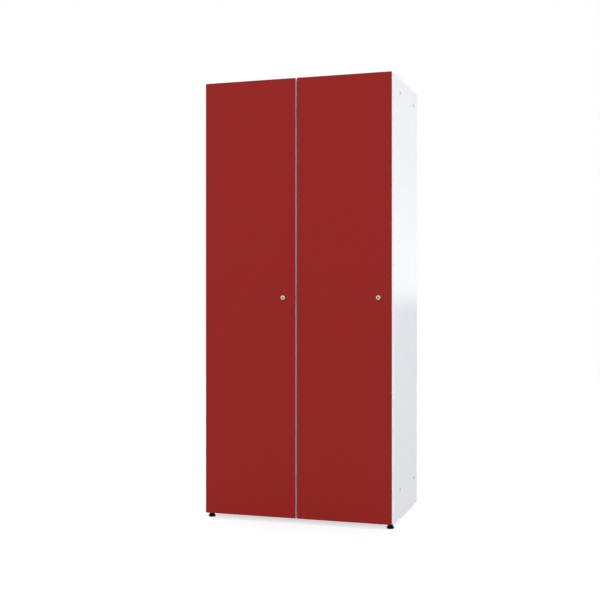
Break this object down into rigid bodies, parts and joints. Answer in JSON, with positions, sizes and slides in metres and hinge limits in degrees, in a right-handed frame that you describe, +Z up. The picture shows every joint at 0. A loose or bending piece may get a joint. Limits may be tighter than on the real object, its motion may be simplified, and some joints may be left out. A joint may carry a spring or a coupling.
{
  "type": "storage cabinet",
  "caption": "Tall double-door steel locker cabinet with flat red doors on a white folded-sheet body, cam locks, hat shelves, coat rails and round levelling feet.",
  "frame": {"origin": "on the floor, midway between the sides and midway between the lock heads and the back", "axes": "+Z up; the doors face -Y; +X is to the right of someone facing the doors"},
  "size_m": [0.8, 0.5084, 1.819],
  "materials": {
    "white_coat": "semi-gloss white powder coat",
    "red_coat": "satin red powder coat",
    "zinc_plate": "zinc-plated steel",
    "chrome": "plated lock, lightly brushed",
    "black_plastic": "moulded matt black",
    "grey_plastic": "moulded matt grey"
  },
  "bodies": {
    "carcass": {"side_panel_left": "white_coat", "side_panel_right": "white_coat", "top_panel": "white_coat", "bottom_panel": "white_coat", "back_panel": "white_coat", "centre_partition": "white_coat", "centre_post": "white_coat", "hat_shelf_left": "white_coat", "coat_rail_left": "zinc_plate", "hat_shelf_right": "white_coat", "coat_rail_right": "zinc_plate", "link_cap_left_top_front": "grey_plastic", "link_cap_left_top_rear": "grey_plastic", "link_cap_left_bottom_front": "grey_plastic", "link_cap_left_bottom_rear": "grey_plastic", "link_cap_right_top_front": "grey_plastic", "link_cap_right_top_rear": "grey_plastic", "link_cap_right_bottom_front": "grey_plastic", "link_cap_right_bottom_rear": "grey_plastic", "foot_nut_front_left": "zinc_plate", "foot_nut_front_right": "zinc_plate", "foot_nut_rear_left": "zinc_plate", "foot_nut_rear_right": "zinc_plate", "hinge_arm_left_lower": "zinc_plate", "hinge_arm_left_middle": "zinc_plate", "hinge_arm_left_upper": "zinc_plate", "hinge_arm_right_lower": "zinc_plate", "hinge_arm_right_middle": "zinc_plate", "hinge_arm_right_upper": "zinc_plate"},
    "door_left": {"door_face_left": "red_coat", "door_pan_left": "white_coat", "door_stiffener_left": "zinc_plate", "hinge_bracket_left_lower": "zinc_plate", "hinge_pin_left_lower": "zinc_plate", "hinge_bracket_left_middle": "zinc_plate", "hinge_pin_left_middle": "zinc_plate", "hinge_bracket_left_upper": "zinc_plate", "hinge_pin_left_upper": "zinc_plate", "lock_body_left": "chrome", "lock_nut_left": "zinc_plate"},
    "lock_left": {"lock_plug_left": "chrome", "lock_cam_left": "zinc_plate"},
    "door_right": {"door_face_right": "red_coat", "door_pan_right": "white_coat", "door_stiffener_right": "zinc_plate", "hinge_bracket_right_lower": "zinc_plate", "hinge_pin_right_lower": "zinc_plate", "hinge_bracket_right_middle": "zinc_plate", "hinge_pin_right_middle": "zinc_plate", "hinge_bracket_right_upper": "zinc_plate", "hinge_pin_right_upper": "zinc_plate", "lock_body_right": "chrome", "lock_nut_right": "zinc_plate"},
    "lock_right": {"lock_plug_right": "chrome", "lock_cam_right": "zinc_plate"},
    "foot_front_left": {"levelling_foot_front_left": "black_plastic"},
    "foot_front_right": {"levelling_foot_front_right": "black_plastic"},
    "foot_rear_left": {"levelling_foot_rear_left": "black_plastic"},
    "foot_rear_right": {"levelling_foot_rear_right": "black_plastic"}
  },
  "joints": [
    {"name": "door_left_hinge", "type": "hinge", "parent": "carcass", "child": "door_left", "pos_m": [-0.3905, -0.24475, 0.9213], "axis": [0, 0, -1], "range_deg": [0, 105]},
    {"name": "door_right_hinge", "type": "hinge", "parent": "carcass", "child": "door_right", "pos_m": [0.0096, -0.24475, 0.9213], "axis": [0, 0, -1], "range_deg": [0, 105]},
    {"name": "lock_left_turn", "type": "hinge", "parent": "door_left", "child": "lock_left", "pos_m": [-0.0579, -0.25175, 0.9213], "axis": [0, -1, 0], "range_deg": [0, 90]},
    {"name": "lock_right_turn", "type": "hinge", "parent": "door_right", "child": "lock_right", "pos_m": [0.3422, -0.25175, 0.9213], "axis": [0, -1, 0], "range_deg": [0, 90]},
    {"name": "foot_front_left_screw", "type": "slide", "parent": "carcass", "child": "foot_front_left", "axis": [0, 0, -1], "range_m": [0, 0.012]},
    {"name": "foot_front_right_screw", "type": "slide", "parent": "carcass", "child": "foot_front_right", "axis": [0, 0, -1], "range_m": [0, 0.012]},
    {"name": "foot_rear_left_screw", "type": "slide", "parent": "carcass", "child": "foot_rear_left", "axis": [0, 0, -1], "range_m": [0, 0.012]},
    {"name": "foot_rear_right_screw", "type": "slide", "parent": "carcass", "child": "foot_rear_right", "axis": [0, 0, -1], "range_m": [0, 0.012]}
  ]
}
